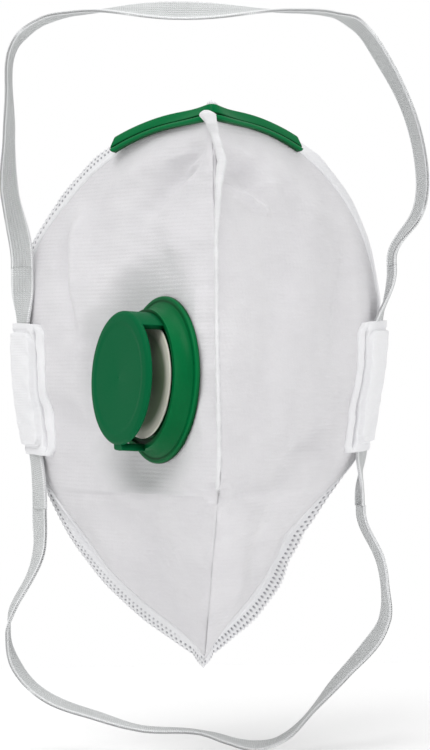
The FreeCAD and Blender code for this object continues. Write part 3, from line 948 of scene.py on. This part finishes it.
LOWER_LOOP = [((-44.2, -15, -43.1), (-0.5, 0.85, 0), 0), ((-47.9, -16, -52.8), (-0.25, 1, 0.1), 0),
              ((-51.1, -17, -58.4), (-0.2, 1, 0.1), 0), ((-52.6, -17, -65.3), (0.1, 1, 0), 0),
              ((-50.2, -18, -74.1), (0.36, 1, 0.2), 0), ((-42.6, -19, -81.8), (0.2, 1, 0.3), 0),
              ((-29.7, -19, -86.9), (0.05, 1, 0.25), 0), ((-17.5, -20, -90.4), (0, 1, 0.1), 0),
              ((-3.1, -20, -91.5), (0, 1, 0.02), 0), ((4, -20, -93.5), (0, 1, 0.2), 0),
              ((12, -20, -95.3), (0, 1, 0.3), 0), ((18.5, -20, -93.8), (-0.1, 1, 0.1), 0),
              ((25.8, -19, -87.8), (0, 1, 0), 0), ((35, -19, -77.4), (-0.25, 1, 0.25), 0),
              ((43.1, -18, -68.8), (-0.45, 1, 0.4), 0), ((46.5, -18, -62.7), (-0.4, 1, 0.1), 0),
              ((46.6, -17, -54.3), (-0.2, 1, 0), 0.3), ((45.4, -15.5, -46.5), (-0.2, 1, 0), 0.7)]


def loop_band(name, body, ends, loop, way, right_turn, left_turn):
    """One loop of elastic. way is the direction in which it leaves the tunnels, up or down."""
    joint = body + "_swing"
    left_end, right_end = swing_end(joint, ends[0]), swing_end(joint, ends[1])
    lead, lap = 2 * way, -0.25 * way
    stations = ([(left_end + (0, 0, up), left_turn, END_CURL[1]) for up in (lap, lead)] + loop
                + [(right_end + (0, 0, up), right_turn, END_CURL[0]) for up in (lead, lap)])
    piece = ribbon(name, stations, 520)
    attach(piece, body)
    narrows_with_fold(piece)
    stands_for(piece, body)


# ---- exhalation valve --------------------
def valve_place(points):
    """From valve coordinates (third along the axis, second up) to the mask."""
    p = np.asarray(points, float) * VALVE_SIZE
    return VALVE_FOOT + p[..., :1] * VALVE_SIDE + p[..., 1:2] * VALVE_UP + p[..., 2:] * VALVE_AXIS


def turned(profile, segments=128, start=0.0, end=360.0):
    """Sections of a closed (radius, height) profile about the valve axis between two angles."""
    profile = np.array(profile, float)
    full = abs(end - start) >= 360
    angles = np.radians(np.linspace(start, end, segments, endpoint=not full))
    if full:
        angles = np.r_[angles, angles[0]]
    r, h = profile[None, :, 0], profile[None, :, 1]
    c, s = np.cos(angles)[:, None], np.sin(angles)[:, None]
    return np.stack([r * c, r * s, h + 0 * c], axis=-1)


def lathe(name, profile, material, radius=0.25, start=0.0, end=360.0):
    sections = turned(softened(profile, radius), start=start, end=end)
    whole = abs(end - start) >= 360
    piece = tube_mesh(name, valve_place(sections), material, closed_ends=not whole)
    clean(piece.data, weld=True)
    return piece


def joined(name, pieces):
    """Several meshes of one moulding as one piece."""
    shape = bmesh.new()
    for piece in pieces:
        shape.from_mesh(piece.data)
    material = pieces[0].data.materials[0]
    mesh = bpy.data.meshes.new(name)
    shape.to_mesh(mesh)
    shape.free()
    for piece in pieces:
        bpy.data.objects.remove(piece)
    mesh.materials.append(material)
    whole = bpy.data.objects.new(name, mesh)
    bpy.context.scene.collection.objects.link(whole)
    return whole


def spoke(angle):
    """Bar across the valve with softened long edges, turned about the axis."""
    half, side = 15.6, 0.7
    outline = softened([(-side, SEAT_FOOT), (side, SEAT_FOOT), (side, 4.2), (-side, 4.2)], 0.25)
    x = np.linspace(-half, half, 12)
    section = np.empty((len(x), len(outline), 3))
    section[..., 0] = x[:, None]
    section[..., 1:] = outline
    turn = np.array(Matrix.Rotation(math.radians(angle), 3, "Z"))
    return tube_mesh("base_spoke", valve_place(section @ turn.T), GREEN)


# Radii and heights of the valve in mm; height 0 is the underside of the flange.
FLANGE_RIM = 21.6
SLEEVE = (15.4, 16.9)
SLEEVE_END = -3.4
COLLAR_TOP = 5.6
SEAT_FOOT, SEAT_TOP = 2.6, 4.9
CAP_RIM = 17.2
CAP_TOP = 12.8
DISC = (2.0, 15.3)


def base_profile():
    """Section of the base: lip, hollow cove up to the collar, seat step and inner sleeve."""
    lip = [(SLEEVE[1], 0.0), (FLANGE_RIM - 0.3, 0.0), (FLANGE_RIM, 0.35), (FLANGE_RIM, 1.0),
           (FLANGE_RIM - 0.3, 1.35), (FLANGE_RIM - 1.0, 1.4)]
    cove = [(20.25 - 2.2 * math.sin(a), 1.25 + 4.3 * (1 - math.cos(a)))
            for a in np.linspace(0.05, math.pi / 2, 14)]
    collar = [(17.95, COLLAR_TOP), (16.8, COLLAR_TOP), (16.7, 4.6), (SLEEVE[0], 4.6)]
    return lip + cove + collar + [(SLEEVE[0], SLEEVE_END), (SLEEVE[1], SLEEVE_END)]


def ring_profile(inner, outer, low, high):
    return [(inner, low), (outer, low), (outer, high), (inner, high)]


def valve_body():
    body = lathe("base_body", base_profile(), GREEN, 0.12)
    seat = lathe("base_seat", ring_profile(13.6, 14.4, SEAT_FOOT, SEAT_TOP), GREEN, 0.2)
    hub = lathe("base_hub", ring_profile(0.01, 3.0, SEAT_FOOT, SEAT_TOP), GREEN, 0.3)
    pin = lathe("base_pin", ring_profile(0.01, 1.5, 4.0, 8.0), GREEN, 0.4)
    return joined("valve_body", [body, seat, hub, pin] + [spoke(angle) for angle in (0, 60, 120)])


def valve_cap():
    """Round cap on a wall at the top and a post at the bottom, with an open window between them."""
    low, rim, top = CAP_TOP - 1.6, CAP_RIM, CAP_TOP
    cap = lathe("cap_plate", [(0.01, low), (rim - 0.3, low), (rim, top - 1.3), (rim, top - 0.6),
                              (rim - 0.7, top), (14.6, top + 0.15), (13.4, top - 0.05), (0.01, top - 0.1)],
                GREEN_FACE, 0.4)
    wall = lathe("cap_wall", ring_profile(15.8, rim, 5.5, top - 1.1), GREEN_FACE, 0.2, 52, 136)
    boss = lathe("cap_boss", ring_profile(1.8, 3.0, 7.0, top - 1.5), GREEN_FACE, 0.2)
    foot = [(16.8, 5.4), (18.6, 5.4), (18.6, top - 0.9), (16.8, top - 0.6)]
    post = lathe("cap_post", foot, GREEN_FACE, 0.5, 262, 277)
    return joined("valve_cap", [cap, wall, boss, post])


def valve_disc():
    low, hole, rim = 5.02, DISC[0], DISC[1]
    profile = [(hole, low), (rim - 0.2, low), (rim, 5.2), (rim - 0.05, 5.55), (14.3, 5.62), (hole, 5.5)]
    return lathe("valve_disc", profile, SILICONE, 0.15)


def valve_washer():
    profile = [(17.0, -3.3), (19.0, -3.3), (19.0, -2.5), (18.2, -2.3), (17.0, -2.4)]
    return lathe("valve_washer", profile, WHITE_PLASTIC, 0.3)


def build_valve():
    for piece, body, node in ((valve_body(), "left_panel", "valve_base"),
                              (valve_cap(), "left_panel", "valve_cover"),
                              (valve_disc(), "valve_diaphragm", "valve_diaphragm"),
                              (valve_washer(), "left_panel", "valve_backing_ring")):
        piece.data.polygons.foreach_set("use_smooth", [True] * len(piece.data.polygons))
        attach(piece, body)
        stands_for(piece, node)


# ---- floor, light and camera --------------------
def build_stage():
    """Wide sheet of pale paper under the mask."""
    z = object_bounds()[0].z - MM
    side, front, back = 1.5, -1.5, 0.2
    points = [(-side, front, z), (side, front, z), (side, back, z), (-side, back, z)]
    add_mesh("studio_floor", np.array(points) / MM, [(0, 1, 2, 3)], studio_paper("studio_paper"))


AIM = (0, -0.03, 0)            # point that the lamps face


def area_light(name, place, size, power):
    light = bpy.data.lights.new(name, "AREA")
    light.shape = "RECTANGLE"
    light.size, light.size_y = size
    light.energy = power
    lamp = bpy.data.objects.new(name, light)
    lamp.location = place
    lamp.rotation_euler = (Vector(AIM) - Vector(place)).to_track_quat("-Z", "Y").to_euler()
    bpy.context.scene.collection.objects.link(lamp)


def build_light():
    """Soft light from the upper left, the right and above, in an evenly lit white room."""
    area_light("key", (-0.40, -0.65, 1.05), (0.8, 0.8), 7.8)
    area_light("fill", (1.1, -0.75, 0.2), (1.0, 1.2), 4.8)
    area_light("top", (0, 0.1, 1.3), (1.2, 0.8), 4.5)
    world = bpy.data.worlds.new("studio")
    world.use_nodes = True
    nodes, links = world.node_tree.nodes, world.node_tree.links
    seen = nodes.new("ShaderNodeLightPath").outputs["Is Camera Ray"]
    strength = nodes.new("ShaderNodeMapRange")
    links.new(seen, strength.inputs["Value"])
    strength.inputs["To Min"].default_value = 0.54
    strength.inputs["To Max"].default_value = 1.0
    links.new(strength.outputs["Result"], nodes["Background"].inputs["Strength"])
    nodes["Background"].inputs["Color"].default_value = (1, 1, 1, 1)
    bpy.context.scene.world = world
    bpy.context.scene.view_settings.view_transform = "Standard"


def build_camera():
    """Long lens from slightly to the left of the mask, level with its middle."""
    distance, turn, roll = 0.7, math.radians(-3.0), math.radians(-0.5)
    target = Vector((1.3, -36, 2)) * MM
    back = Vector((math.sin(turn), -math.cos(turn), 0))
    lens = bpy.data.cameras.new("camera")
    lens.lens = 131.2
    lens.sensor_width = 36
    camera = bpy.data.objects.new("camera", lens)
    camera.location = target + back * distance
    camera.rotation_euler = (-back).to_track_quat("-Z", "Y").to_euler()
    camera.rotation_euler.rotate_axis("Z", roll)
    bpy.context.scene.collection.objects.link(camera)
    bpy.context.scene.camera = camera


build_shells()
edge_band("left")
edge_band("right")
nose_clip_and_wire()
foam_strip("left")
foam_strip("right")
build_seam_fin()
for half in ("left", "right"):
    strap_tab(half)
    tab_weld(half)
band_run("left", UPPER_ENDS[0], LOWER_ENDS[0])
band_run("right", UPPER_ENDS[1], LOWER_ENDS[1])
loop_band("head_elastic", "upper_headband", UPPER_ENDS, UPPER_LOOP, 1, *UPPER_TURN)
loop_band("neck_elastic", "lower_headband", LOWER_ENDS, LOWER_LOOP, -1, LOWER_TURN[0], (-0.6, 0.8, 0))
build_valve()
build_stage()
build_light()
build_camera()
